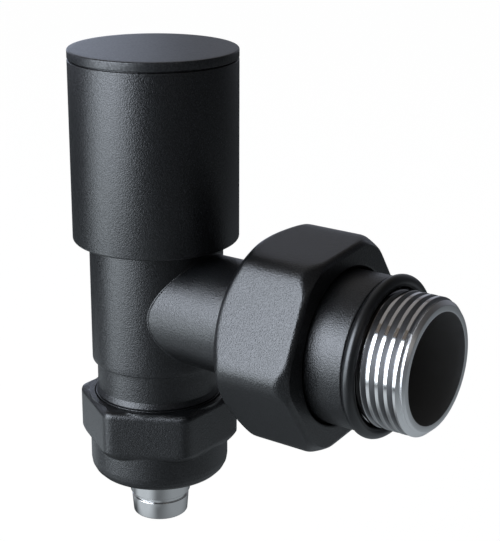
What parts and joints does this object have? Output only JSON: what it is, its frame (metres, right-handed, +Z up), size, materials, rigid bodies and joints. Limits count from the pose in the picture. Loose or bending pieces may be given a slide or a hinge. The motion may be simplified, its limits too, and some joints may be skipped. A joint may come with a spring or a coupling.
{
  "type": "angle radiator valve",
  "caption": "Angle radiator valve with a tall round handwheel, a pipe compression nut below and a union nut with a threaded tail at the side.",
  "frame": {"origin": "on the handwheel's axis, in the underside of the compression nut, where the pipe goes over the insert", "axes": "+Z up the handwheel's axis; +X along the side branch, towards the radiator; the branch's axis is 30.4 mm above the origin"},
  "size_m": [0.0658, 0.0342, 0.08],
  "materials": {
    "black_powder_coat": "fine-textured satin black powder coat on brass",
    "black_wheel_coat": "fine-textured satin black powder coat on the handwheel shell",
    "black_cover_coat": "smooth satin black paint on the cover disc",
    "chrome_plate": "bright nickel-chrome plate on brass",
    "brass": "turned brass",
    "zinc_steel": "zinc-plated steel",
    "rubber": "smooth black EPDM",
    "white_plastic": "natural moulded plastic"
  },
  "bodies": {
    "valve": {"valve_body": "black_powder_coat", "bonnet": "brass", "bonnet_o_ring": "rubber", "gland_washer": "white_plastic", "stem_o_rings": "rubber", "gland_nut": "brass", "pipe_insert": "chrome_plate", "insert_o_rings": "rubber", "cone_o_ring": "rubber", "insulating_washer": "white_plastic"},
    "plug": {"disc_holder": "brass", "seat_washer": "rubber", "washer_screw": "brass"},
    "wheel": {"spindle": "brass", "handwheel": "black_wheel_coat", "cover_disc": "black_cover_coat", "handwheel_insert": "white_plastic", "handwheel_screw": "zinc_steel"},
    "clamp": {"clamp_ring": "brass"},
    "pipe_nut": {"compression_nut": "black_powder_coat"},
    "slip_washer": {"union_slip_washer": "white_plastic"},
    "radiator_nut": {"union_nut": "black_powder_coat"},
    "tail": {"tailpiece": "chrome_plate", "tail_sleeve": "black_powder_coat", "face_o_ring": "rubber", "union_o_ring": "rubber"}
  },
  "joints": [
    {"name": "plug_lift", "type": "slide", "parent": "valve", "child": "plug", "axis": [0, 0, 1], "range_m": [0, 0.00375]},
    {"name": "handwheel_turn", "type": "hinge", "parent": "plug", "child": "wheel", "pos_m": [0, 0, 0.0411], "axis": [0, 0, 1], "range_deg": [0, 900]},
    {"name": "clamp_travel", "type": "slide", "parent": "valve", "child": "clamp", "axis": [0, 0, -1], "range_m": [0, 0.006]},
    {"name": "compression_nut_turn", "type": "hinge", "parent": "clamp", "child": "pipe_nut", "pos_m": [0, 0, 0], "axis": [0, 0, -1], "range_deg": [0, 1440]},
    {"name": "union_travel", "type": "slide", "parent": "valve", "child": "slip_washer", "axis": [1, 0, 0], "range_m": [0, 0.00544]},
    {"name": "union_nut_turn", "type": "hinge", "parent": "slip_washer", "child": "radiator_nut", "pos_m": [0.0223, 0, 0.0304], "axis": [1, 0, 0], "range_deg": [0, 1080]},
    {"name": "tail_swivel", "type": "hinge", "parent": "valve", "child": "tail", "pos_m": [0.03, 0, 0.0304], "axis": [1, 0, 0], "continuous": true}
  ],
  "couplings": [
    {"joint": "plug_lift", "follows": "handwheel_turn", "m_per_rad": 0.00023873},
    {"joint": "clamp_travel", "follows": "compression_nut_turn", "m_per_rad": 0.00023873},
    {"joint": "union_travel", "follows": "union_nut_turn", "m_per_rad": 0.00028871}
  ]
}
